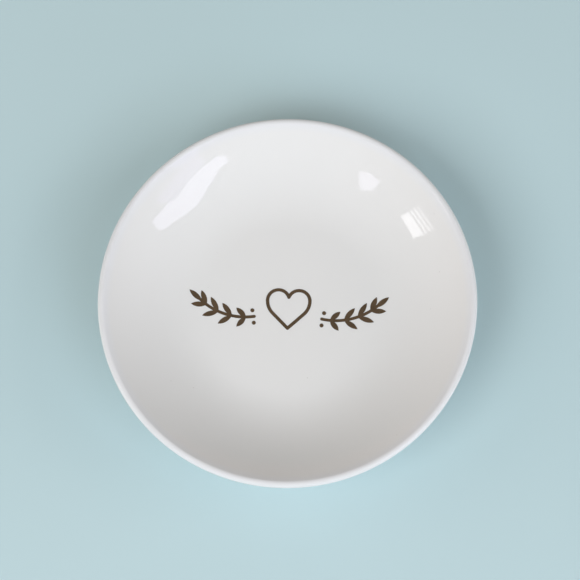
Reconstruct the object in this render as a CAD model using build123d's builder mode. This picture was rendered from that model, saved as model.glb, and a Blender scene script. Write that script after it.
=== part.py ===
from build123d import *
import os

# Ring dish: a small round porcelain dish with a curved-up wall, a foot ring and a drawing fired on to it.
# The origin is at the middle of the foot ring's bearing face, with +Z up and +X along the drawing.

# Overall sizes, over the glaze
rim_diameter = 110.0
height = 20.0

# Wall and lip
lip_thickness = 2.4
floor_thickness = 3.2
flat_diameter = 50.4

# Foot ring
foot_height = 2.4
foot_diameter = 67.0
foot_width = 3.4
foot_root_radius = 1.4
foot_edge_radius = 0.9

# Glaze, and the height up the foot at which it stops
glaze_thickness = 0.2
glaze_line_height = 1.1

# The wall's straight line meets the floor's at a corner, inside and outside, in shares of the rim's radius.
# A curve cuts the corner off, from the end of the flat to a share of the way up the wall.
well_corner_share = 0.687
belly_corner_share = 0.708
wall_start_share = 0.85

# Printed drawing: a heart in one line, between two leafy sprigs
ink_thickness = 0.06
print_length = 60.0
heart_width = 13.6
heart_height = 12.6
heart_stroke = 1.0
stem_stroke = 0.9

# The heart's lobe, as a share of its half width, and how far its side runs down before it turns to the tip
lobe_radius_share = 0.515
side_run_share = 0.20

# Ends of the right-hand stem, as shares of half the drawing's length and of the heart's height, and its bow
stem_start_shares = (0.333, -0.206)
stem_end_shares = (0.893, 0.190)
stem_bow_share = 0.167

# Leaves in pairs along the stem, with one more near its end
leaf_length = 5.0
leaf_width = 1.55
leaf_place_shares = (0.14, 0.37, 0.60, 0.83)
leaf_length_shares = (0.80, 0.96, 1.0, 0.92)
leaf_angles = (46, 42, 38, 34)
last_leaf_share = 0.93

# Two berries beside the start of each stem
berry_diameter = 1.2
berry_gap = 0.85
berry_place_share = 0.02

rim_radius = rim_diameter / 2
lip_radius = lip_thickness / 2
lip_centre = Vector(rim_radius - lip_radius, height - lip_radius)
well_floor = foot_height + floor_thickness
well_corner = Vector(rim_radius * well_corner_share, well_floor)
belly_corner = Vector(rim_radius * belly_corner_share, foot_height)
foot_middle_radius = (foot_diameter - foot_width) / 2

# The straight walls touch the round lip, one inside and one outside
with BuildLine():
    lip_circle = CenterArc(lip_centre, lip_radius, 0, 360)
    inner_wall = ConstrainedLines(lip_circle, well_corner, selector=lambda lines: lines.sort_by(Axis.Y)[-1])
    outer_wall = ConstrainedLines(lip_circle, belly_corner, selector=lambda lines: lines.sort_by(Axis.Y)[0])


def curved_up(corner, wall_end, into_floor, coat):
    """Draws one face from the axis to the lip, a coat deep in the dish: flat, curve and straight wall."""
    into_wall = (lip_centre - wall_end).normalized()
    into_corner = (into_floor + into_wall) / (1 + into_floor.dot(into_wall))
    flat_end = Vector(flat_diameter / 2, corner.Y) + into_floor * coat
    wall_start = corner + (wall_end - corner) * wall_start_share + into_wall * coat
    Line((0, flat_end.Y), flat_end)
    Bezier(flat_end, corner + into_corner * coat, wall_start)
    return Line(wall_start, wall_end + into_wall * coat)


def dish_section(coat):
    """Returns half the dish's section with a coat taken off all round, or added where it is negative."""
    with BuildSketch() as section:
        # The foot ring is drawn up through the wall, and the well trims it.
        # It starts one coat of glaze too low, because the bare foot that is left stands on zero.
        with Locations((foot_middle_radius, coat - glaze_thickness)):
            Rectangle(foot_width - 2 * coat, height, align=(Align.CENTER, Align.MIN))
        with BuildLine():
            well = curved_up(well_corner, inner_wall @ 0, Vector(0, -1), coat)
            Polyline(well @ 1, (rim_radius, height), (0, height), (0, well_floor - coat))
        make_face(mode=Mode.SUBTRACT)
        # The wall, with its lip fully round
        with BuildLine():
            well = curved_up(well_corner, inner_wall @ 0, Vector(0, -1), coat)
            belly = curved_up(belly_corner, outer_wall @ 0, Vector(0, 1), coat)
            TangentArc(well @ 1, belly @ 1, tangent=well % 1)
            Line((0, foot_height + coat), (0, well_floor - coat))
        make_face()
        foot_sides = edges().filter_by(Axis.Y).sort_by(Axis.X)[-2:]
        fillet(foot_sides.vertices().sort_by(Axis.Y)[2:], radius=foot_root_radius + coat)
        foot_sides = edges().filter_by(Axis.Y).sort_by(Axis.X)[-2:]
        fillet(foot_sides.vertices().sort_by(Axis.Y)[:2], radius=foot_edge_radius - coat)
    return section.sketch_local


glazed_section = dish_section(0)
biscuit_section = dish_section(glaze_thickness)
inked_section = dish_section(-ink_thickness)

with BuildPart() as porcelain_body:
    with BuildSketch(Plane.XZ):
        add(biscuit_section)
    revolve(axis=Axis.Z)

# The coat, in two areas that the bare foot parts
with BuildSketch() as coat_section:
    add(glazed_section)
    with Locations((foot_middle_radius, glaze_line_height)):
        Rectangle(foot_diameter, height, align=(Align.CENTER, Align.MAX), mode=Mode.SUBTRACT)
    add(biscuit_section, mode=Mode.SUBTRACT)
base_area, coat_area = coat_section.faces().sort_by(SortBy.AREA)

with BuildPart() as glaze_coat:
    with BuildSketch(Plane.XZ):
        add(coat_area)
    revolve(axis=Axis.Z)

with BuildPart() as base_glaze:
    with BuildSketch(Plane.XZ):
        add(base_area)
    revolve(axis=Axis.Z)

# The thin layer that ink takes on the glaze
with BuildPart() as ink_layer:
    with BuildSketch(Plane.XZ):
        add(inked_section)
        add(glazed_section, mode=Mode.SUBTRACT)
    revolve(axis=Axis.Z)

# The right half of the heart, under the middle of its line.
# A round lobe is followed by a turn at the side and a straight run to the tip.
half_heart = (heart_width - heart_stroke) / 2
heart_rise = heart_height - heart_stroke
heart_tip = Vector(0, -heart_rise / 2)
lobe_radius = half_heart * lobe_radius_share
lobe_centre = Vector(half_heart - lobe_radius, heart_rise / 2 - lobe_radius)
heart_notch = Vector(0, lobe_centre.Y + (lobe_radius**2 - lobe_centre.X**2) ** 0.5)
side_run = heart_rise * side_run_share
side_corner = lobe_centre + Vector(lobe_radius, -side_run)
side_end = side_corner + (heart_tip - side_corner).normalized() * side_run

# Heart, drawn as one line with a round pen
with BuildSketch() as heart:
    with BuildLine():
        lobe = ThreePointArc(heart_notch, lobe_centre + (0, lobe_radius), lobe_centre + (lobe_radius, 0))
        TangentArc(lobe @ 1, side_end, tangent=lobe % 1)
        Line(side_end, heart_tip)
        mirror(about=Plane.YZ)
    make_face()
    inside = offset(amount=-heart_stroke / 2, mode=Mode.PRIVATE)
    offset(amount=heart_stroke / 2)
    add(inside, mode=Mode.SUBTRACT)

# Stem of the right-hand sprig
half_print = print_length / 2
stem_start = (half_print * stem_start_shares[0], heart_height * stem_start_shares[1])
stem_end = (half_print * stem_end_shares[0], heart_height * stem_end_shares[1])
with BuildLine():
    stem = SagittaArc(stem_start, stem_end, -heart_height * stem_bow_share)

# Each leaf's base, direction and length
leaves = [
    (stem @ place, (stem % place).rotate(Axis.Z, side * angle), leaf_length * share)
    for place, share, angle in zip(leaf_place_shares, leaf_length_shares, leaf_angles)
    for side in (-1, 1)
]
leaves.append((stem @ last_leaf_share, stem % last_leaf_share, leaf_length))

# A leaf is two arcs that meet in a point at each end
with BuildSketch() as right_sprig:
    SlotArc(stem, stem_stroke)
    for base, direction, length in leaves:
        with BuildLine():
            SagittaArc(base, base + direction * length, leaf_width / 2)
            SagittaArc(base, base + direction * length, -leaf_width / 2)
        make_face()

with BuildSketch() as right_berries:
    berry_distance = stem_stroke / 2 + berry_gap + berry_diameter / 2
    aside = (stem % berry_place_share).rotate(Axis.Z, 90) * berry_distance
    with Locations(stem @ berry_place_share + aside, stem @ berry_place_share - aside):
        Circle(berry_diameter / 2)

# Each figure is pushed up from inside the floor, and what meets the ink's layer is the print
middle_of_floor = Plane.XY.offset(well_floor - floor_thickness / 2)

with BuildPart() as print_heart:
    with BuildSketch(middle_of_floor):
        add(heart.sketch_local)
    extrude(amount=height)
    add(ink_layer.part, mode=Mode.INTERSECT)

with BuildPart() as print_right_sprig:
    with BuildSketch(middle_of_floor):
        add(right_sprig.sketch_local)
    extrude(amount=height)
    add(ink_layer.part, mode=Mode.INTERSECT)

with BuildPart() as print_left_sprig:
    mirror(print_right_sprig.part, about=Plane.YZ)

with BuildPart() as print_berries:
    with BuildSketch(middle_of_floor):
        add(right_berries.sketch_local)
    extrude(amount=height)
    add(ink_layer.part, mode=Mode.INTERSECT)
    mirror(about=Plane.YZ)

porcelain_body.part.label = "porcelain_body"
glaze_coat.part.label = "glaze_coat"
base_glaze.part.label = "base_glaze"
print_heart.part.label = "print_heart"
print_left_sprig.part.label = "print_left_sprig"
print_right_sprig.part.label = "print_right_sprig"
print_berries.part.label = "print_berries"

os.makedirs("parts", exist_ok=True)
export_step(porcelain_body.part, "parts/porcelain_body.step")
export_step(glaze_coat.part, "parts/glaze_coat.step")
export_step(base_glaze.part, "parts/base_glaze.step")
export_step(print_heart.part, "parts/print_heart.step")
export_step(print_left_sprig.part, "parts/print_left_sprig.step")
export_step(print_right_sprig.part, "parts/print_right_sprig.step")
export_step(print_berries.part, "parts/print_berries.step")
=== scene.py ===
import math
import random
from dataclasses import dataclass

import bpy
from mathutils import Matrix, Vector


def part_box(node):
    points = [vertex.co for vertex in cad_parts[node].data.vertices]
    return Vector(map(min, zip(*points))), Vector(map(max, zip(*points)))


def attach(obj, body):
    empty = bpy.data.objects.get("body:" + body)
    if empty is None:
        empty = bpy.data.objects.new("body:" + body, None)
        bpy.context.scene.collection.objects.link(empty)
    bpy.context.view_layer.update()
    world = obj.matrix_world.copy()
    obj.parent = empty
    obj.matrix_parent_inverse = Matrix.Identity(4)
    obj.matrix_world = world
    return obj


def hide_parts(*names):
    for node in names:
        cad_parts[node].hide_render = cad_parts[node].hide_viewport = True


bl_info = {
    "name": "Ring dish",
    "version": (1, 0, 0),
    "blender": (4, 5, 0),
    "location": "3D View > Sidebar > Ring dish",
    "description": "Makes a small round porcelain ring dish with a drawing fired on to its glaze",
    "category": "Add Mesh",
}

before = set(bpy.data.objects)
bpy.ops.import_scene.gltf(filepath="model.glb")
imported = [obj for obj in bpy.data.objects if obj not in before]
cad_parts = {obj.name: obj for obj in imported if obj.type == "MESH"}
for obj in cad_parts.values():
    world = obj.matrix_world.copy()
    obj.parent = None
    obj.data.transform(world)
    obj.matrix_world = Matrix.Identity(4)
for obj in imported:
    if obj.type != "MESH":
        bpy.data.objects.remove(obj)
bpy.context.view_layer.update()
coat_low, coat_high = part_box("glaze_coat")

MM = 0.001
TURN = 2 * math.pi
BODY = "root"
SPIN_STEPS = 256
SMOOTH_ANGLE = math.radians(40)
WARP_SEED = 11

# Points nearer to each other than this are one
WELD = 0.002 * MM

# A figure is cut out of a grid this many times as wide as the figure
GRID_REACH = 1.1

# Lengths of the waves in the glaze and along its lower edge
RIPPLE_WAVE = 14 * MM
EDGE_WAVE = 5 * MM


class DishSizes(bpy.types.PropertyGroup):
    """Sizes of the porcelain and its glaze, measured over the glaze."""

    rim_diameter: bpy.props.FloatProperty(
        name="Rim diameter", description="Width over the lip",
        unit="LENGTH", default=coat_high.x - coat_low.x,
    )
    height: bpy.props.FloatProperty(
        name="Height", description="From the table to the top of the lip",
        unit="LENGTH", default=coat_high.z,
    )
    lip_thickness: bpy.props.FloatProperty(
        name="Lip thickness", description="Diameter of the round lip", unit="LENGTH", default=2.4 * MM
    )
    floor_thickness: bpy.props.FloatProperty(
        name="Floor thickness", description="Porcelain and glaze under the well",
        unit="LENGTH", default=3.2 * MM,
    )
    flat_diameter: bpy.props.FloatProperty(
        name="Flat diameter", description="Width of the level middle of the well",
        unit="LENGTH", default=50.4 * MM,
    )
    foot_height: bpy.props.FloatProperty(
        name="Foot height", description="Room under the floor, inside the foot",
        unit="LENGTH", default=2.4 * MM,
    )
    foot_diameter: bpy.props.FloatProperty(
        name="Foot diameter", description="Width over the foot ring", unit="LENGTH", default=67 * MM
    )
    foot_width: bpy.props.FloatProperty(
        name="Foot width", description="Thickness of the foot ring", unit="LENGTH", default=3.4 * MM
    )
    foot_root_radius: bpy.props.FloatProperty(
        name="Foot root radius", description="Hollow where the foot meets the dish",
        unit="LENGTH", default=1.4 * MM,
    )
    foot_edge_radius: bpy.props.FloatProperty(
        name="Foot edge radius", description="Rounding of the bearing face's edges",
        unit="LENGTH", default=0.9 * MM,
    )
    glaze_thickness: bpy.props.FloatProperty(
        name="Glaze thickness", description="Thickness of the glassy coat", unit="LENGTH", default=0.2 * MM
    )
    glaze_line_height: bpy.props.FloatProperty(
        name="Glaze line", description="Height up the foot at which the glaze stops",
        unit="LENGTH", default=1.1 * MM,
    )
    well_corner_share: bpy.props.FloatProperty(
        name="Well corner",
        description="Where the well's floor and wall would meet, as a share of the rim's radius",
        default=0.687,
    )
    belly_corner_share: bpy.props.FloatProperty(
        name="Belly corner",
        description="Where the underside and the wall would meet, as a share of the rim's radius",
        default=0.708,
    )
    wall_start_share: bpy.props.FloatProperty(
        name="Wall start", description="How far up the wall its curve ends", default=0.85
    )
    warp: bpy.props.FloatProperty(
        name="Warp", description="How far the firing has pulled the rim in or down",
        unit="LENGTH", default=0.25 * MM,
    )
    ripple: bpy.props.FloatProperty(
        name="Ripple", description="Depth of the slow waves in the glaze", unit="LENGTH", default=0.06 * MM
    )
    glaze_line_wander: bpy.props.FloatProperty(
        name="Glaze line wander", description="How unevenly the glaze stops",
        unit="LENGTH", default=0.5 * MM,
    )


class DrawingSizes(bpy.types.PropertyGroup):
    """Sizes of the drawing fired on to the well."""

    ink_thickness: bpy.props.FloatProperty(
        name="Ink thickness", description="How far the ink stands up", unit="LENGTH", default=0.06 * MM
    )
    print_length: bpy.props.FloatProperty(
        name="Drawing length", description="Length that the sprigs' places follow",
        unit="LENGTH", default=60 * MM,
    )
    heart_width: bpy.props.FloatProperty(
        name="Heart width", description="Over the outside of the line", unit="LENGTH", default=13.6 * MM
    )
    heart_height: bpy.props.FloatProperty(
        name="Heart height", description="Over the outside of the line", unit="LENGTH", default=12.6 * MM
    )
    heart_stroke: bpy.props.FloatProperty(
        name="Heart line", description="Width of the heart's line", unit="LENGTH", default=1.0 * MM
    )
    stem_stroke: bpy.props.FloatProperty(
        name="Stem line", description="Width of a sprig's stem", unit="LENGTH", default=0.9 * MM
    )
    lobe_radius_share: bpy.props.FloatProperty(
        name="Lobe radius", description="Share of the heart's half width", default=0.515
    )
    side_run_share: bpy.props.FloatProperty(
        name="Side run", description="How far the heart's side runs down, as a share of its height",
        default=0.20,
    )
    stem_start_shares: bpy.props.FloatVectorProperty(
        name="Stem start", description="Shares of half the drawing's length and of the heart's height",
        size=2, default=(0.333, -0.206),
    )
    stem_end_shares: bpy.props.FloatVectorProperty(
        name="Stem end", description="Shares of half the drawing's length and of the heart's height",
        size=2, default=(0.893, 0.190),
    )
    stem_bow_share: bpy.props.FloatProperty(
        name="Stem bow", description="How far a stem bends, as a share of the heart's height", default=0.167
    )
    leaf_length: bpy.props.FloatProperty(
        name="Leaf length", description="Length of the longest leaf", unit="LENGTH", default=5.0 * MM
    )
    leaf_width: bpy.props.FloatProperty(
        name="Leaf width", description="Width of a leaf", unit="LENGTH", default=1.55 * MM
    )
    leaf_place_shares: bpy.props.FloatVectorProperty(
        name="Leaf places", description="How far along the stem each pair of leaves starts", size=4,
        default=(0.14, 0.37, 0.60, 0.83),
    )
    leaf_length_shares: bpy.props.FloatVectorProperty(
        name="Leaf lengths", description="Share of the longest leaf that each pair has", size=4,
        default=(0.80, 0.96, 1.0, 0.92),
    )
    leaf_angles: bpy.props.FloatVectorProperty(
        name="Leaf angles", description="How far each pair turns from the stem", subtype="EULER", size=4,
        default=[math.radians(angle) for angle in (46, 42, 38, 34)],
    )
    last_leaf_share: bpy.props.FloatProperty(
        name="Last leaf", description="How far along the stem the single last leaf starts", default=0.93
    )
    berry_diameter: bpy.props.FloatProperty(
        name="Berry diameter", description="Width of a berry", unit="LENGTH", default=1.2 * MM
    )
    berry_gap: bpy.props.FloatProperty(
        name="Berry gap", description="Bare glaze between a berry and the stem",
        unit="LENGTH", default=0.85 * MM,
    )
    berry_place_share: bpy.props.FloatProperty(
        name="Berry place", description="How far along the stem the berries stand", default=0.02
    )
    grain: bpy.props.FloatProperty(
        name="Grain", description="Size of the squares that a figure is cut from",
        unit="LENGTH", default=0.4 * MM,
    )


class FinishColours(bpy.types.PropertyGroup):
    """Colours of the finishes."""

    glaze: bpy.props.FloatVectorProperty(
        name="Glaze", description="White of the glaze",
        subtype="COLOR", size=3, default=(0.78, 0.768, 0.757),
    )
    # The lip's colour: partly thin glaze, partly painted shade that makes the lip a little darker and
    # cooler
    thin_glaze_and_painted_shade: bpy.props.FloatVectorProperty(
        name="Thin glaze", description="Where the glaze is thin, on the lip", subtype="COLOR", size=3,
        default=(0.765, 0.763, 0.775),
    )
    porcelain: bpy.props.FloatVectorProperty(
        name="Porcelain", description="Bare porcelain of the foot",
        subtype="COLOR", size=3, default=(0.76, 0.72, 0.66),
    )
    ink: bpy.props.FloatVectorProperty(
        name="Ink", description="Dark gold of the drawing",
        subtype="COLOR", size=3, default=(0.165, 0.093, 0.053),
    )
    floor: bpy.props.FloatVectorProperty(
        name="Floor", description="Pale floor under the dish",
        subtype="COLOR", size=3, default=(0.52, 0.67, 0.70),
    )
    background: bpy.props.FloatVectorProperty(
        name="Background", description="Far floor and sky",
        subtype="COLOR", size=3, default=(0.47, 0.60, 0.63),
    )


class StageSettings(bpy.types.PropertyGroup):
    """Where the camera stands, and how far the floor reaches."""

    azimuth: bpy.props.FloatProperty(
        name="Azimuth", description="How far the camera stands round from -Y towards +X", subtype="ANGLE",
        default=math.radians(7.86),
    )
    elevation: bpy.props.FloatProperty(
        name="Elevation", description="Height of the camera above the horizon", subtype="ANGLE",
        default=math.radians(76.11),
    )
    roll: bpy.props.FloatProperty(
        name="Roll", description="How far the camera is turned clockwise",
        subtype="ANGLE", default=math.radians(5.36),
    )
    distance: bpy.props.FloatProperty(
        name="Distance", description="From the camera to the point that it looks at",
        unit="LENGTH", default=0.5,
    )
    aim: bpy.props.FloatVectorProperty(
        name="Aim", description="Point that the camera looks at",
        subtype="TRANSLATION", unit="LENGTH", size=3,
        default=(0.37 * MM, 4.80 * MM, 10 * MM),
    )
    lens: bpy.props.FloatProperty(
        name="Lens", description="Focal length in millimetres on a 36 mm sensor", default=105.22
    )
    floor_radius: bpy.props.FloatProperty(
        name="Floor radius", description="How far the floor reaches", unit="LENGTH", default=4.0
    )


# Angles below are in degrees. Azimuth counts from +X towards +Y, and elevation from the table up.


@dataclass
class Softbox:
    """A soft square lamp that looks at the dish and doesn't show in the gloss."""

    name: str
    azimuth: float
    elevation: float
    size: float
    radiance: float
    colour: tuple
    distance: float = 1.3


@dataclass
class Window:
    """A bright opening that only the gloss shows, with the directions of its corners."""

    name: str
    radiance: float
    colour: tuple
    corners: tuple


SOFTBOXES = (
    Softbox("Front_left", -135, 45, 0.8, 4.75, (0.96, 0.98, 1.0)),
    Softbox("Front_right", -45, 45, 0.8, 2.3, (0.80, 0.90, 1.0)),
    Softbox("Low_front_right", -45, 22, 0.8, 1.8, (0.80, 0.87, 1.0)),
    Softbox("Left", 180, 22, 0.8, 1.9, (1.0, 0.88, 0.85)),
    Softbox("Right", 0, 22, 0.8, 2.65, (1.0, 0.92, 0.90)),
    Softbox("Under_the_table", 0, -90, 0.6, 1.8, (1.0, 1.0, 1.0), distance=0.6),
)

DAYLIGHT = (0.96, 0.97, 1.0)
WINDOWS = (
    Window(
        "Wide_window", 3.6, (0.80, 0.81, 1.0),
        (
            (-17, 26.5), (-28, 29), (-33, 31), (-41, 29), (-48, 28), (-57, 26.5), (-60.5, 29),
            (-60.5, 32), (-55, 33.5), (-51, 37.5), (-45, 40), (-41, 43), (-35.5, 44.5), (-28, 43),
            (-23, 39.5), (-16.5, 36), (-15, 32.5),
        ),
    ),
    Window(
        "Curtain", 1.6, (0.6, 0.6, 1.0),
        ((-24, 23), (-50, 21), (-52, 26), (-48, 27.8), (-41, 28.8), (-33, 30.8), (-28, 28.8)),
    ),
    Window(
        "Side_window", 5.4, DAYLIGHT,
        ((-164.5, 27.5), (-152.6, 29.6), (-152.3, 36.0), (-164.5, 35.7)),
    ),
    Window(
        "Side_window_slat", 5.0, DAYLIGHT,
        ((-164.5, 25.1), (-152.6, 27.2), (-152.6, 28.5), (-164.5, 26.4)),
    ),
    Window(
        "Side_window_lower_slat", 4.6, DAYLIGHT,
        ((-164.5, 22.7), (-152.8, 24.8), (-152.8, 26.1), (-164.5, 24.0)),
    ),
    Window(
        "Side_window_sill", 3.2, DAYLIGHT,
        ((-164.4, 20.5), (-153.0, 22.6), (-153.0, 23.7), (-164.4, 21.6)),
    ),
    Window(
        "Small_window", 3.5, (0.83, 0.83, 1.0),
        ((-124, 33.4), (-128.4, 30.5), (-134.9, 30.7), (-134.8, 39), (-129.9, 43.6)),
    ),
)
WINDOW_DISTANCE = 2.0


def only(*pieces):
    """Selects these objects and nothing else, and makes the first one active."""
    bpy.ops.object.select_all(action="DESELECT")
    for piece in pieces:
        piece.select_set(True)
    bpy.context.view_layer.objects.active = pieces[0]


def modified(piece, kind, **settings):
    """Gives a piece a modifier with these settings and applies it."""
    modifier = piece.modifiers.new(kind.lower(), kind)
    for name, value in settings.items():
        setattr(modifier, name, value)
    only(piece)
    bpy.ops.object.modifier_apply(modifier=modifier.name)


# Outlines are lists of points in a plane: (distance from the axis, height) or (right, up) on the drawing


def straight(start, end, steps):
    """Gives the points of a straight run."""
    return [start.lerp(end, step / steps) for step in range(steps + 1)]


def arc(centre, radius, first, last, steps):
    """Gives the points of an arc from one angle to another."""
    angles = [first + (last - first) * step / steps for step in range(steps + 1)]
    return [centre + Vector((math.cos(angle), math.sin(angle))) * radius for angle in angles]


def angle_of(vector):
    """Gives the angle of a vector from the first axis, anticlockwise."""
    return math.atan2(vector.y, vector.x)


class Bend:
    """A curve that leaves one line and joins another, with their corner as its control point."""

    def __init__(self, start, corner, end):
        self.start, self.corner, self.end = start, corner, end

    def at(self, share):
        """Gives the point at a share of the way."""
        return self.start.lerp(self.corner, share).lerp(self.corner.lerp(self.end, share), share)

    def right_of(self, share):
        """Gives the unit vector square to the curve there, on its right."""
        along = self.corner.lerp(self.end, share) - self.start.lerp(self.corner, share)
        return Vector((along.y, -along.x)).normalized()

    def points(self, first, last, steps):
        """Gives the points from one share of the way to another."""
        return [self.at(first + (last - first) * step / steps) for step in range(steps + 1)]


class Section:
    """Half the dish's section, with a coat taken off all round."""

    flat_steps, bend_steps, wall_steps, lip_steps, root_steps, foot_steps = 11, 32, 14, 20, 8, 3
    halvings = 19

    def __init__(self, sizes, coat):
        self.coat = coat
        self.lip_radius = sizes.lip_thickness / 2
        self.lip_centre = Vector((sizes.rim_diameter / 2, sizes.height)) - Vector((1, 1)) * self.lip_radius
        floor_height = sizes.foot_height + sizes.floor_thickness
        well_corner = Vector((sizes.rim_diameter / 2 * sizes.well_corner_share, floor_height))
        belly_corner = Vector((sizes.rim_diameter / 2 * sizes.belly_corner_share, sizes.foot_height))
        self.well, self.well_end = self.face(sizes, well_corner, -1)
        self.belly, self.belly_end = self.face(sizes, belly_corner, 1)
        self.foot_outside = sizes.foot_diameter / 2 - coat
        self.foot_inside = sizes.foot_diameter / 2 - sizes.foot_width + coat
        self.root_radius = sizes.foot_root_radius + coat
        self.edge_radius = sizes.foot_edge_radius - coat
        self.outer_share, self.outer_centre = self.root(self.foot_outside + self.root_radius)
        self.inner_share, self.inner_centre = self.root(self.foot_inside - self.root_radius)

    def face(self, sizes, corner, side):
        """Gives a face's bend and where its wall meets the lip. The side is -1 in the well and 1 below."""
        to_lip = self.lip_centre - corner
        tangent_length = (to_lip.length_squared - self.lip_radius**2) ** 0.5
        along = angle_of(to_lip) - side * math.asin(self.lip_radius / to_lip.length)
        wall_end = corner + Vector((math.cos(along), math.sin(along))) * tangent_length
        wall_start = corner.lerp(wall_end, sizes.wall_start_share)
        into_floor, into_wall = Vector((0, side)), (self.lip_centre - wall_end).normalized()
        into_corner = (into_floor + into_wall) / (1 + into_floor.dot(into_wall))
        bend = Bend(
            Vector((sizes.flat_diameter / 2, corner.y)) + into_floor * self.coat,
            corner + into_corner * self.coat,
            wall_start + into_wall * self.coat,
        )
        return bend, wall_end + into_wall * self.coat

    def root(self, centre_radius):
        """Finds where a hollow at the foot's root touches the belly, and its centre, by halving."""
        low, high = 0.0, 1.0
        for _ in range(self.halvings):
            share = (low + high) / 2
            centre = self.belly.at(share) + self.belly.right_of(share) * self.root_radius
            low, high = (share, high) if centre.x < centre_radius else (low, share)
        return low, Vector((centre_radius, centre.y))

    def outside(self, foot_end):
        """Goes from the middle of the well over the lip and down to a height on the outside of the foot."""
        middle = Vector((0, self.well.start.y))
        lip_angles = angle_of(self.well_end - self.lip_centre), angle_of(self.belly_end - self.lip_centre)
        root_angle = angle_of(self.belly.at(self.outer_share) - self.outer_centre)
        foot_top = Vector((self.foot_outside, self.outer_centre.y))
        return [
            *straight(middle, self.well.start, self.flat_steps),
            *self.well.points(0, 1, self.bend_steps),
            *straight(self.well.end, self.well_end, self.wall_steps),
            *arc(self.lip_centre, self.lip_radius - self.coat, *lip_angles, self.lip_steps),
            *straight(self.belly_end, self.belly.end, self.wall_steps),
            *self.belly.points(1, self.outer_share, self.bend_steps // 2),
            *arc(self.outer_centre, self.root_radius, root_angle, math.pi, self.root_steps),
            *straight(foot_top, Vector((self.foot_outside, foot_end)), self.foot_steps),
        ]

    def underside(self, foot_end):
        """Goes from a height on the inside of the foot to the middle of the underside."""
        root_angle = angle_of(self.belly.at(self.inner_share) - self.inner_centre)
        foot_top = Vector((self.foot_inside, self.inner_centre.y))
        return [
            *straight(Vector((self.foot_inside, foot_end)), foot_top, self.foot_steps),
            *arc(self.inner_centre, self.root_radius, 0, root_angle, self.root_steps),
            *self.belly.points(self.inner_share, 0, self.bend_steps // 4),
            *straight(self.belly.start, Vector((0, self.belly.start.y)), self.flat_steps),
        ]

    def bearing(self):
        """Goes round the foot's bearing face, from the outside of the foot to its inside."""
        radius = self.edge_radius
        outer = Vector((self.foot_outside - radius, radius))
        inner = Vector((self.foot_inside + radius, radius))
        return [
            *arc(outer, radius, 0, -TURN / 4, self.root_steps),
            *arc(inner, radius, -TURN / 4, -TURN / 2, self.root_steps),
        ]


def drawn(name, points):
    """Extrudes one vertex from point to point, and leaves the new piece in edit mode. Points are 3-D."""
    bpy.ops.object.select_all(action="DESELECT")
    bpy.ops.mesh.primitive_plane_add(size=MM)
    bpy.context.object.name = name
    bpy.ops.object.mode_set(mode="EDIT")
    bpy.ops.mesh.select_all(action="SELECT")
    bpy.ops.mesh.merge(type="CENTER")
    bpy.ops.transform.translate(value=points[0])
    for here, there in zip(points, points[1:]):
        if (there - here).length > WELD:
            bpy.ops.mesh.extrude_vertices_move(TRANSFORM_OT_translate={"value": there - here})
    return bpy.context.object


def turned(name, outline):
    """Spins an outline that starts and ends on the axis once round it, as a closed solid."""
    piece = drawn(name, [Vector((point.x, 0, point.y)) for point in outline])
    bpy.ops.mesh.select_all(action="SELECT")
    bpy.ops.mesh.spin(steps=SPIN_STEPS, angle=TURN, center=(0, 0, 0), axis=(0, 0, 1))
    bpy.ops.mesh.select_all(action="SELECT")
    bpy.ops.mesh.remove_doubles(threshold=WELD)
    bpy.ops.mesh.normals_make_consistent(inside=False)
    bpy.ops.object.mode_set(mode="OBJECT")
    bpy.ops.object.shade_smooth_by_angle(angle=SMOOTH_ANGLE)
    return piece


def prism(name, outline, depth):
    """Fills a closed outline on the drawing and extrudes it both ways, as a cutter."""
    piece = drawn(name, [Vector((point.x, point.y, -depth / 2)) for point in outline])
    bpy.ops.mesh.select_all(action="SELECT")
    bpy.ops.mesh.remove_doubles(threshold=WELD)
    bpy.ops.mesh.edge_face_add()
    bpy.ops.mesh.extrude_region_move(TRANSFORM_OT_translate={"value": (0, 0, depth)})
    bpy.ops.mesh.select_all(action="SELECT")
    bpy.ops.mesh.normals_make_consistent(inside=False)
    bpy.ops.object.mode_set(mode="OBJECT")
    return piece


def clouds(name, scale):
    """Makes a cloudy texture for a Displace modifier, with waves of about this length."""
    texture = bpy.data.textures.new(name, "CLOUDS")
    texture.noise_scale = scale
    texture.noise_depth = 1
    return texture


def fired(piece, sizes):
    """Warps a piece as the kiln has: the rim is a little out of round and out of level, the foot isn't."""
    draws = random.Random(WARP_SEED)
    bpy.ops.object.add(type="LATTICE", location=(0, 0, sizes.height / 2))
    lattice = bpy.context.object
    lattice.scale = (sizes.rim_diameter, sizes.rim_diameter, sizes.height)
    lattice.data.points_u = lattice.data.points_v = 5
    lattice.data.interpolation_type_w = "KEY_LINEAR"
    for point in lattice.data.points:
        if point.co.z > 0:
            pull = sizes.warp * draws.random()
            inwards = Vector((-point.co.x, -point.co.y, -point.co.z / 2)).normalized() * pull
            shift = Vector(distance / size for distance, size in zip(inwards, lattice.scale))
            point.co_deform = point.co + shift
    modified(piece, "LATTICE", object=lattice)
    bpy.data.objects.remove(lattice)


def uneven_line(piece, sizes):
    """Lets the glaze's lower edge on the foot wander up and down a little."""
    group = piece.vertex_groups.new(name="glaze_line")
    top, inside = sizes.glaze_line_height + WELD, sizes.flat_diameter / 2
    edge = [v.index for v in piece.data.vertices if 0 < v.co.z < top and v.co.xy.length > inside]
    group.add(edge, 1, "ADD")
    modified(
        piece, "DISPLACE", texture=clouds("glaze_line", EDGE_WAVE), direction="Z", mid_level=0.5,
        strength=sizes.glaze_line_wander, vertex_group=group.name,
    )


def finished(piece, material, slot, *nodes):
    """Gives a piece its material and its place in the frame."""
    piece.data.materials.clear()
    piece.data.materials.append(material)
    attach(piece, BODY)
    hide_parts(*nodes)


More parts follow.
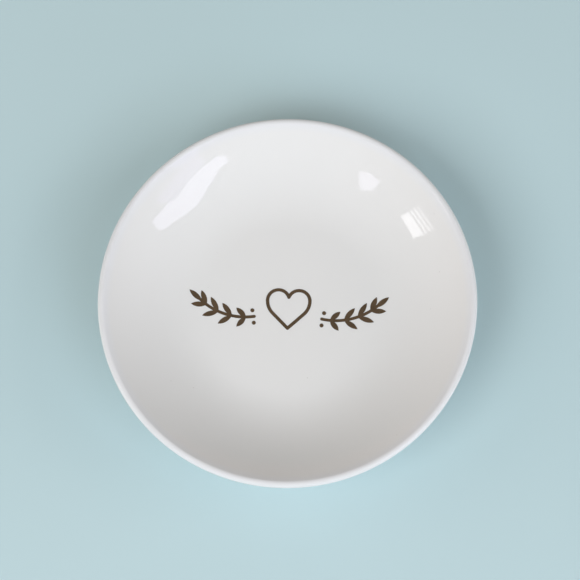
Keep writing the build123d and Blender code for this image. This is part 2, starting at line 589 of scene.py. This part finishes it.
class Socket:
    """A node's output, which sums, products and comparisons turn into Math nodes."""

    def __init__(self, finish, output):
        self.finish, self.output = finish, output

    def maths(self, operation, first, second):
        return self.finish.node("ShaderNodeMath", {"operation": operation}, {0: first, 1: second})

    def __add__(self, other):
        return self.maths("ADD", self, other)

    def __radd__(self, other):
        return self.maths("ADD", other, self)

    def __sub__(self, other):
        return self.maths("SUBTRACT", self, other)

    def __rsub__(self, other):
        return self.maths("SUBTRACT", other, self)

    def __mul__(self, other):
        return self.maths("MULTIPLY", self, other)

    def __rmul__(self, other):
        return self.maths("MULTIPLY", other, self)

    def __lt__(self, other):
        return self.maths("LESS_THAN", self, other)

    def __gt__(self, other):
        return self.maths("GREATER_THAN", self, other)


class Finish:
    """A node tree under construction, of a material or of the world."""

    def __init__(self, holder):
        holder.use_nodes = True
        self.holder, self.tree = holder, holder.node_tree
        self.tree.nodes.clear()

    def node(self, kind, settings=None, inputs=None, output=0):
        """Adds a node with its settings, then its sockets' values or links, and gives one output."""
        node = self.tree.nodes.new(kind)
        for name, value in (settings or {}).items():
            if name == "stops":
                for element, (place, grey) in zip(node.color_ramp.elements, value):
                    element.position, element.color = place, (grey, grey, grey, 1)
            else:
                setattr(node, name, value)
        for name, value in (inputs or {}).items():
            if isinstance(value, Socket):
                self.tree.links.new(value.output, node.inputs[name])
            else:
                node.inputs[name].default_value = value
        return Socket(self, node.outputs[output]) if node.outputs else None

    def place(self):
        """Gives the place on the object, in metres."""
        return self.node("ShaderNodeTexCoord", output="Object")

    def noise(self, place, wave, detail, roughness=0.5):
        """Gives cloudy noise from 0 to 1 with waves of about this length in metres."""
        inputs = {"Vector": place, "Scale": 1 / wave, "Detail": detail, "Roughness": roughness}
        return self.node("ShaderNodeTexNoise", inputs=inputs)

    def ramp(self, value, first, last):
        """Gives a grey that follows a value between two stops, each a place and a grey."""
        return self.node("ShaderNodeValToRGB", {"stops": (first, last)}, {0: value})

    def mix(self, share, first, second):
        """Mixes two colours, which are the Mix node's sockets 6 and 7 and its output 2."""
        inputs = {"Factor": share, 6: first, 7: second}
        return self.node("ShaderNodeMix", {"data_type": "RGBA"}, inputs, output=2)

    def shaded(self, share, colour, dark, light):
        """Gives a colour from its dark level to its light one, as a share goes from 0 to 1."""
        return self.mix(share, opaque(colour, dark), opaque(colour, light))

    def parts(self, vector):
        """Gives a vector's three numbers."""
        node = self.node("ShaderNodeSeparateXYZ", inputs={0: vector}).output.node
        return [Socket(self, output) for output in node.outputs]

    def between(self, value, low, high):
        """Gives 0 below one value, 1 above another, and a smooth rise between them."""
        inputs = {"Value": value, "From Min": low, "From Max": high}
        return self.node("ShaderNodeMapRange", {"interpolation_type": "SMOOTHSTEP"}, inputs)

    def bump(self, height, distance):
        """Gives the normal of a surface that rises by a distance where the height is 1."""
        return self.node("ShaderNodeBump", inputs={"Height": height, "Distance": distance, "Strength": 1.0})

    def surface(self, **inputs):
        """Ends a material in a Principled shader with these sockets."""
        sockets = {name.replace("_", " "): value for name, value in inputs.items()}
        shader = self.node("ShaderNodeBsdfPrincipled", inputs=sockets)
        self.node("ShaderNodeOutputMaterial", inputs={"Surface": shader})
        return self.holder


def new_finish(name):
    """Starts a material."""
    return Finish(bpy.data.materials.new(name))


def opaque(colour, level=1.0):
    """Gives a colour with an alpha of 1, lighter or darker by a level."""
    return (*(channel * level for channel in colour), 1.0)


def glaze_finish(name, colours, sizes):
    """White glossy glaze: cloudy, with a few specks and pinholes; on the lip a little darker and cooler,
    partly for the thin glaze there and partly as painted shade.
    """
    finish = new_finish(name)
    place = finish.place()
    height = finish.parts(place)[2]
    cloud = finish.noise(place, 35 * MM, 3.0)
    lip = finish.between(height, sizes.height - sizes.lip_thickness, sizes.height - sizes.glaze_thickness)
    white = finish.shaded(cloud, colours.glaze, 0.985, 1.015)
    # Painted shade: the lip is mixed to a slightly darker, cooler white, partly for its thin glaze
    white = finish.mix(lip, white, opaque(colours.thin_glaze_and_painted_shade))
    # A few cells of a fine pattern hold a speck, and a few others a pinhole
    cell, speck_radius, pit_radius = 2.2 * MM, 0.055, 0.10
    speck_share, pit_share, speck_brown = 0.035, 0.03, opaque((0.30, 0.27, 0.23))
    pattern = {"Vector": place, "Scale": 1 / cell, "Randomness": 1.0}
    cells = finish.node("ShaderNodeTexVoronoi", inputs=pattern)
    chance = finish.parts(Socket(finish, cells.output.node.outputs["Color"]))[0]
    speck = (cells < speck_radius) * (chance > 1 - speck_share)
    white = finish.mix(speck * 0.45, white, speck_brown)
    smear = finish.noise(place, 18 * MM, 4.0, 0.6)
    peel = finish.noise(place, 2.6 * MM, 2.0)
    pit = finish.between(cells, 0.0, pit_radius)
    skin = peel + pit * (chance < pit_share)
    return finish.surface(
        Base_Color=white,
        Roughness=smear * 0.04 + 0.02,
        Normal=finish.bump(skin, 0.007 * MM),
        IOR=1.52,
    )


def porcelain_finish(colours):
    """Bare fired porcelain: matt, warm, finely gritty, and a little soiled where it stands on the table."""
    soil, grit_brown = opaque((0.45, 0.41, 0.36)), opaque((0.50, 0.45, 0.38))
    soiled_low, soiled_high = 0.05 * MM, 0.5 * MM
    finish = new_finish("Bare_porcelain")
    place = finish.place()
    height = finish.parts(place)[2]
    grit = finish.noise(place, 0.35 * MM, 4.0, 0.7)
    blotch = finish.noise(place, 7 * MM, 3.0)
    bare = finish.shaded(blotch, colours.porcelain, 0.93, 1.05)
    low = 1 - finish.between(height, soiled_low, soiled_high)
    bare = finish.mix(low * finish.ramp(blotch, (0.35, 0.2), (0.7, 1.0)) * 0.35, bare, soil)
    bare = finish.mix(finish.ramp(grit, (0.58, 0.0), (0.75, 1.0)) * 0.25, bare, grit_brown)
    return finish.surface(
        Base_Color=bare,
        Roughness=grit * 0.2 + 0.62,
        Normal=finish.bump(grit, 0.03 * MM),
        IOR=1.45,
    )


def ink_finish(colours):
    """Dark gold fired on to the glaze: satin metal, a little uneven, darker in places."""
    finish = new_finish("Gold_ink")
    place = finish.place()
    patch = finish.noise(place, 2.5 * MM, 3.0, 0.6)
    grain = finish.noise(place, 0.12 * MM, 2.0)
    gold = finish.shaded(finish.ramp(patch, (0.3, 0.0), (0.7, 1.0)), colours.ink, 0.86, 1.14)
    return finish.surface(
        Base_Color=gold,
        Metallic=0.85,
        Roughness=patch * 0.16 + 0.30,
        Normal=finish.bump(grain, 0.004 * MM),
    )


def seen_directly(finish):
    """Gives two numbers: 1 where the camera sees the surface, and 1 where the gloss does."""
    rays = finish.node("ShaderNodeLightPath").output.node.outputs
    return Socket(finish, rays["Is Camera Ray"]), Socket(finish, rays["Is Glossy Ray"])


def floor_finish(colours):
    """Plain pale matt floor, an even background far off. From below, the camera sees through it."""
    finish = new_finish("Pale_floor")
    place = finish.place()
    mottle = finish.noise(place, 0.06, 3.0)
    pale = finish.shaded(mottle, colours.floor, 0.985, 1.015)
    inputs = {"Base Color": pale, "Roughness": 0.6, "IOR": 1.4}
    matt = finish.node("ShaderNodeBsdfPrincipled", inputs=inputs)
    even = finish.node("ShaderNodeEmission", inputs={"Color": opaque(colours.background)})
    clear = finish.node("ShaderNodeBsdfTransparent")
    camera, gloss = seen_directly(finish)
    away = finish.node("ShaderNodeVectorMath", {"operation": "LENGTH"}, {0: place}, output="Value")
    even_from, even_past = 0.16, 0.6
    far = finish.between(away, even_from, even_past) * (camera + gloss)
    surface = finish.node("ShaderNodeMixShader", inputs={0: far, 1: matt, 2: even})
    below = finish.node("ShaderNodeNewGeometry", output="Backfacing") * camera
    surface = finish.node("ShaderNodeMixShader", inputs={0: below, 1: surface, 2: clear})
    finish.node("ShaderNodeOutputMaterial", inputs={"Surface": surface})
    return finish.holder


class RING_DISH_OT_porcelain_body(bpy.types.Operator):
    """Make the porcelain body, of which only the foot's bearing ring shows"""

    bl_idname = "ring_dish.porcelain_body"
    bl_label = "Porcelain body"

    def execute(self, context):
        sizes = context.scene.dish_sizes
        biscuit = Section(sizes, sizes.glaze_thickness)
        edge = biscuit.edge_radius
        outline = biscuit.outside(edge) + biscuit.bearing() + biscuit.underside(edge)
        piece = turned("Porcelain_body", outline)
        fired(piece, sizes)
        finished(piece, porcelain_finish(context.scene.finish_colours), "porcelain", "porcelain_body")
        return {"FINISHED"}


class RING_DISH_OT_glaze_coat(bpy.types.Operator):
    """Make the glaze over the well, the lip, the wall and the outside of the foot"""

    bl_idname = "ring_dish.glaze_coat"
    bl_label = "Glaze coat"

    def execute(self, context):
        sizes = context.scene.dish_sizes
        skin, biscuit = Section(sizes, 0), Section(sizes, sizes.glaze_thickness)
        outline = skin.outside(sizes.glaze_line_height) + biscuit.outside(sizes.glaze_line_height)[::-1]
        piece = turned("Glaze_coat", outline)
        uneven_line(piece, sizes)
        modified(
            piece, "DISPLACE", texture=clouds("ripple", RIPPLE_WAVE), direction="Z", mid_level=1.0,
            strength=sizes.ripple,
        )
        fired(piece, sizes)
        glaze = glaze_finish("Glaze", context.scene.finish_colours, sizes)
        finished(piece, glaze, "glaze", "glaze_coat")
        return {"FINISHED"}


class RING_DISH_OT_base_glaze(bpy.types.Operator):
    """Make the glaze inside the foot ring"""

    bl_idname = "ring_dish.base_glaze"
    bl_label = "Base glaze"

    def execute(self, context):
        sizes = context.scene.dish_sizes
        skin, biscuit = Section(sizes, 0), Section(sizes, sizes.glaze_thickness)
        outline = biscuit.underside(sizes.glaze_line_height)[::-1] + skin.underside(sizes.glaze_line_height)
        piece = turned("Base_glaze", outline)
        uneven_line(piece, sizes)
        fired(piece, sizes)
        glaze = glaze_finish("Base_glaze", context.scene.finish_colours, sizes)
        finished(piece, glaze, "glaze", "base_glaze")
        return {"FINISHED"}


class Drawing:
    """Outlines of the drawing's figures, in the plane of the table."""

    arc_steps, cap_steps = 40, 12

    def __init__(self, sizes):
        self.sizes = sizes
        half_print = sizes.print_length / 2
        self.stem_start, self.stem_end = (
            Vector((half_print * along, sizes.heart_height * up))
            for along, up in (sizes.stem_start_shares, sizes.stem_end_shares)
        )
        # The stem's arc bows down, so its centre is above the chord
        chord = self.stem_end - self.stem_start
        bow = sizes.heart_height * sizes.stem_bow_share
        self.stem_radius = (chord.length_squared / 4 + bow**2) / (2 * bow)
        above = Vector((-chord.y, chord.x)).normalized() * (self.stem_radius - bow)
        self.stem_centre = self.stem_start.lerp(self.stem_end, 0.5) + above
        self.stem_angles = [angle_of(end - self.stem_centre) for end in (self.stem_start, self.stem_end)]

    def stem_at(self, share):
        """Gives the point a share of the way along the stem, and the stem's angle there."""
        first, last = self.stem_angles
        angle = first + (last - first) * share
        outward = Vector((math.cos(angle), math.sin(angle)))
        return self.stem_centre + outward * self.stem_radius, angle + TURN / 4

    def stem(self):
        """Outline of the stem, with round ends."""
        half = self.sizes.stem_stroke / 2
        first, last = self.stem_angles
        return [
            *arc(self.stem_centre, self.stem_radius + half, first, last, self.arc_steps),
            *arc(self.stem_end, half, last, last + TURN / 2, self.cap_steps),
            *arc(self.stem_centre, self.stem_radius - half, last, first, self.arc_steps),
            *arc(self.stem_start, half, first + TURN / 2, first + TURN, self.cap_steps),
        ]

    def leaf(self):
        """Outline of the longest leaf, from its base along the first axis: two arcs that meet in points."""
        half_length, half_width = self.sizes.leaf_length / 2, self.sizes.leaf_width / 2
        radius = (half_length**2 + half_width**2) / (2 * half_width)
        reach = math.asin(half_length / radius)
        down, up = Vector((half_length, half_width - radius)), Vector((half_length, radius - half_width))
        return [
            *arc(up, radius, -TURN / 4 - reach, -TURN / 4 + reach, self.arc_steps // 2),
            *arc(down, radius, TURN / 4 - reach, TURN / 4 + reach, self.arc_steps // 2),
        ]

    def heart(self):
        """Outer and inner outline of the heart's line."""
        sizes = self.sizes
        half_stroke = sizes.heart_stroke / 2
        half_heart = (sizes.heart_width - sizes.heart_stroke) / 2
        rise = sizes.heart_height - sizes.heart_stroke
        lobe_radius = half_heart * sizes.lobe_radius_share
        lobe_centre = Vector((half_heart - lobe_radius, rise / 2 - lobe_radius))
        notch = Vector((0, lobe_centre.y + (lobe_radius**2 - lobe_centre.x**2) ** 0.5))
        tip = Vector((0, -rise / 2))
        # The line turns at the side on an arc that leaves the lobe and touches the straight run to the tip
        run = rise * sizes.side_run_share
        lobe_end = lobe_centre + Vector((lobe_radius, 0))
        corner = lobe_end - Vector((0, run))
        side_end = corner + (tip - corner).normalized() * run
        turn = side_end - lobe_end
        turn_radius = turn.length_squared / (-2 * turn.x)
        turn_centre = lobe_end - Vector((turn_radius, 0))
        outward = (side_end - turn_centre).normalized()
        last = angle_of(outward)
        outer_radius, inner_radius = lobe_radius + half_stroke, lobe_radius - half_stroke
        outer = [
            *arc(lobe_centre, outer_radius, math.acos(-lobe_centre.x / outer_radius), 0, self.arc_steps),
            *arc(turn_centre, turn_radius + half_stroke, 0, last, self.arc_steps // 2),
            *arc(tip, half_stroke, last, -TURN / 4, self.cap_steps // 2),
        ]
        inner = [
            *arc(notch, half_stroke, -TURN / 4, angle_of(lobe_centre - notch), self.cap_steps // 2),
            *arc(lobe_centre, inner_radius, angle_of(notch - lobe_centre), 0, self.arc_steps),
            *arc(turn_centre, turn_radius - half_stroke, 0, last, self.arc_steps // 2),
            tip - Vector((0, half_stroke / outward.y)),
        ]
        return [half + [Vector((-point.x, point.y)) for point in reversed(half)] for half in (outer, inner)]

    def berries(self):
        """Middles of the two berries beside the stem's start."""
        sizes = self.sizes
        place, angle = self.stem_at(sizes.berry_place_share)
        apart = sizes.stem_stroke / 2 + sizes.berry_gap + sizes.berry_diameter / 2
        aside = Vector((-math.sin(angle), math.cos(angle))) * apart
        return place + aside, place - aside


def cut_figure(name, cutter, hole=None):
    """Cuts a figure out of a fine flat grid with a cutter, and a hole out of the figure."""
    sizes = bpy.context.scene.drawing_sizes
    low, high = Vector(cutter.bound_box[0]), Vector(cutter.bound_box[6])
    middle, span = (low + high) / 2, high - low
    bpy.ops.object.select_all(action="DESELECT")
    bpy.ops.mesh.primitive_grid_add(
        x_subdivisions=math.ceil(span.x / sizes.grain) + 2,
        y_subdivisions=math.ceil(span.y / sizes.grain) + 2,
        size=1,
    )
    figure = bpy.context.object
    figure.name = name
    reach = span.x * GRID_REACH, span.y * GRID_REACH
    figure.data.transform(Matrix.Translation(middle) @ Matrix.Diagonal((*reach, 1, 1)))
    modified(figure, "BOOLEAN", operation="INTERSECT", solver="EXACT", object=cutter, use_self=True)
    bpy.data.objects.remove(cutter)
    if hole:
        modified(figure, "BOOLEAN", operation="DIFFERENCE", solver="EXACT", object=hole)
        bpy.data.objects.remove(hole)
    modified(figure, "WELD", merge_threshold=WELD)
    return figure


def inked(figure, context, *nodes):
    """Lays a flat figure on the glaze, gives it the ink's thickness and finishes it."""
    sizes = context.scene.drawing_sizes
    figure.data.transform(Matrix.Translation((0, 0, context.scene.dish_sizes.height)))
    modified(
        figure, "SHRINKWRAP", target=bpy.data.objects["Glaze_coat"], wrap_method="PROJECT",
        use_project_z=True, use_negative_direction=True, use_positive_direction=False,
    )
    modified(figure, "SOLIDIFY", thickness=sizes.ink_thickness, offset=1.0)
    finished(figure, ink_finish(context.scene.finish_colours), "gold_ink", *nodes)


class RING_DISH_OT_heart(bpy.types.Operator):
    """Draw the heart in one line on the glaze"""

    bl_idname = "ring_dish.heart"
    bl_label = "Heart"

    def execute(self, context):
        height = context.scene.dish_sizes.height
        outer, inner = Drawing(context.scene.drawing_sizes).heart()
        outside, inside = prism("Heart_outside", outer, height), prism("Heart_inside", inner, height)
        inked(cut_figure("Ink_heart", outside, inside), context, "print_heart")
        return {"FINISHED"}


class RING_DISH_OT_sprigs(bpy.types.Operator):
    """Draw a leafy sprig on each side of the heart"""

    bl_idname = "ring_dish.sprigs"
    bl_label = "Sprigs"

    def execute(self, context):
        sizes, depth = context.scene.drawing_sizes, context.scene.dish_sizes.height
        drawing = Drawing(sizes)
        leaf = prism("Leaf", drawing.leaf(), depth)
        cutters = [prism("Stem", drawing.stem(), depth)]
        pairs = zip(sizes.leaf_place_shares, sizes.leaf_length_shares, sizes.leaf_angles)
        leaves = [(place, side * angle, share) for place, share, angle in pairs for side in (-1, 1)]
        for place, angle, share in [*leaves, (sizes.last_leaf_share, 0, 1)]:
            base, stem_angle = drawing.stem_at(place)
            copy = bpy.data.objects.new("Leaf", leaf.data.copy())
            context.scene.collection.objects.link(copy)
            turn = Matrix.Rotation(stem_angle + angle, 4, "Z")
            copy.data.transform(Matrix.Translation(base.to_3d()) @ turn @ Matrix.Diagonal((share, 1, 1, 1)))
            cutters.append(copy)
        bpy.data.objects.remove(leaf)
        only(*cutters)
        bpy.ops.object.join()
        right = cut_figure("Ink_right_sprig", cutters[0])
        left = bpy.data.objects.new("Ink_left_sprig", right.data.copy())
        context.scene.collection.objects.link(left)
        left.data.transform(Matrix.Diagonal((-1, 1, 1, 1)))
        left.data.flip_normals()
        inked(right, context, "print_right_sprig")
        inked(left, context, "print_left_sprig")
        return {"FINISHED"}


class RING_DISH_OT_berries(bpy.types.Operator):
    """Draw two berries beside the start of each stem"""

    bl_idname = "ring_dish.berries"
    bl_label = "Berries"

    def execute(self, context):
        sizes, depth = context.scene.drawing_sizes, context.scene.dish_sizes.height
        cutters = []
        for middle in Drawing(sizes).berries():
            for side in (1, -1):
                bpy.ops.object.select_all(action="DESELECT")
                bpy.ops.mesh.primitive_cylinder_add(
                    vertices=48, radius=sizes.berry_diameter / 2, depth=depth,
                    location=(side * middle.x, middle.y, 0),
                )
                bpy.ops.object.transform_apply()
                cutters.append(context.object)
        only(*cutters)
        bpy.ops.object.join()
        inked(cut_figure("Ink_berries", cutters[0]), context, "print_berries")
        return {"FINISHED"}


def looking_at(location, target):
    """Gives the turn of something that stands there and looks at a point, with its top up."""
    return (location - target).to_track_quat("Z", "Y")


def direction(azimuth, elevation):
    """Gives the unit vector at an azimuth from +X towards +Y and an elevation."""
    level = math.cos(elevation)
    return Vector((math.cos(azimuth) * level, math.sin(azimuth) * level, math.sin(elevation)))


def add_softbox(box, target):
    """Hangs a softbox and turns it to the dish."""
    location = target + direction(math.radians(box.azimuth), math.radians(box.elevation)) * box.distance
    bpy.ops.object.light_add(type="AREA", location=location)
    light = bpy.context.object
    light.name = box.name
    light.rotation_mode = "QUATERNION"
    light.rotation_quaternion = looking_at(location, target)
    light.data.size = box.size
    light.data.energy = box.radiance * math.pi * box.size**2
    light.data.color = box.colour
    light.visible_glossy = False


def add_window(window, target):
    """Puts up a window as a bright face that only glossy rays meet."""
    corners = [direction(*map(math.radians, corner)) * WINDOW_DISTANCE for corner in window.corners]
    pane = drawn(window.name, [target + corner for corner in corners])
    bpy.ops.mesh.select_all(action="SELECT")
    bpy.ops.mesh.edge_face_add()
    bpy.ops.object.mode_set(mode="OBJECT")
    finish = new_finish(window.name)
    inputs = {"Color": opaque(window.colour), "Strength": window.radiance}
    glow = finish.node("ShaderNodeEmission", inputs=inputs)
    finish.node("ShaderNodeOutputMaterial", inputs={"Surface": glow})
    pane.data.materials.append(finish.holder)
    pane.visible_camera = pane.visible_diffuse = pane.visible_shadow = pane.visible_transmission = False


def set_world(scene):
    """Adds a little light from all round, and shows the camera and the gloss a pale background."""
    finish = Finish(bpy.data.worlds.new("World"))
    around = finish.node("ShaderNodeBackground", inputs={"Color": (1.0, 0.94, 0.82, 1), "Strength": 0.2})
    seen = finish.node("ShaderNodeBackground", inputs={"Color": opaque(scene.finish_colours.background)})
    camera, gloss = seen_directly(finish)
    both = finish.node("ShaderNodeMixShader", inputs={0: camera + gloss, 1: around, 2: seen})
    finish.node("ShaderNodeOutputWorld", inputs={"Surface": both})
    scene.world = finish.holder


def add_floor(stage, foot_radius, finish):
    """Lays the floor as a wide ring, with a hole that the foot hides from above."""
    bpy.ops.object.select_all(action="DESELECT")
    bpy.ops.mesh.primitive_circle_add(vertices=96, radius=foot_radius)
    floor = bpy.context.object
    floor.name = "Floor"
    bpy.ops.object.mode_set(mode="EDIT")
    bpy.ops.mesh.select_all(action="SELECT")
    bpy.ops.mesh.extrude_edges_move()
    growth = stage.floor_radius / foot_radius
    bpy.ops.transform.resize(value=(growth, growth, 1))
    bpy.ops.object.mode_set(mode="OBJECT")
    if floor.data.polygons[0].normal.z < 0:
        floor.data.flip_normals()
    floor.data.materials.append(finish)


class RING_DISH_OT_stage(bpy.types.Operator):
    """Set up the floor, the lamps and the camera"""

    bl_idname = "ring_dish.stage"
    bl_label = "Stage"

    def execute(self, context):
        scene, stage = context.scene, context.scene.stage_settings
        scene.view_settings.view_transform = "Standard"
        sizes = scene.dish_sizes
        foot_radius = (sizes.foot_diameter - sizes.foot_width) / 2
        add_floor(stage, foot_radius, floor_finish(scene.finish_colours))
        set_world(scene)
        aim = Vector(stage.aim)
        for box in SOFTBOXES:
            add_softbox(box, aim)
        for window in WINDOWS:
            add_window(window, aim)
        location = aim + direction(stage.azimuth - TURN / 4, stage.elevation) * stage.distance
        bpy.ops.object.camera_add(location=location)
        camera = context.object
        camera.rotation_mode = "QUATERNION"
        turn = Matrix.Rotation(-stage.roll, 4, "Z").to_quaternion()
        camera.rotation_quaternion = looking_at(location, aim) @ turn
        camera.data.lens = stage.lens
        camera.data.sensor_width = 36
        camera.data.clip_start, camera.data.clip_end = 0.01, 20
        scene.camera = camera
        return {"FINISHED"}


class RING_DISH_PT_panel(bpy.types.Panel):
    """Lists the pieces of the dish and their sizes"""

    bl_idname = "RING_DISH_PT_panel"
    bl_label = "Ring dish"
    bl_space_type = "VIEW_3D"
    bl_region_type = "UI"
    bl_category = "Ring dish"

    def draw(self, context):
        for operator in OPERATORS:
            self.layout.operator(operator.bl_idname)
        for name in SETTINGS:
            box = self.layout.box()
            settings = getattr(context.scene, name)
            for prop in settings.__annotations__:
                box.prop(settings, prop)


OPERATORS = (
    RING_DISH_OT_stage,
    RING_DISH_OT_porcelain_body,
    RING_DISH_OT_glaze_coat,
    RING_DISH_OT_base_glaze,
    RING_DISH_OT_heart,
    RING_DISH_OT_sprigs,
    RING_DISH_OT_berries,
)
SETTINGS = {
    "dish_sizes": DishSizes,
    "drawing_sizes": DrawingSizes,
    "finish_colours": FinishColours,
    "stage_settings": StageSettings,
}


def register():
    for group in SETTINGS.values():
        bpy.utils.register_class(group)
    for name, group in SETTINGS.items():
        setattr(bpy.types.Scene, name, bpy.props.PointerProperty(type=group))
    for operator in (*OPERATORS, RING_DISH_PT_panel):
        bpy.utils.register_class(operator)


def unregister():
    for operator in (*OPERATORS, RING_DISH_PT_panel):
        bpy.utils.unregister_class(operator)
    for name in SETTINGS:
        delattr(bpy.types.Scene, name)
    for group in SETTINGS.values():
        bpy.utils.unregister_class(group)


def main():
    register()
    bpy.ops.ring_dish.stage()
    bpy.ops.ring_dish.porcelain_body()
    bpy.ops.ring_dish.glaze_coat()
    bpy.ops.ring_dish.base_glaze()
    bpy.ops.ring_dish.heart()
    bpy.ops.ring_dish.sprigs()
    bpy.ops.ring_dish.berries()


if __name__ == "__main__":
    main()
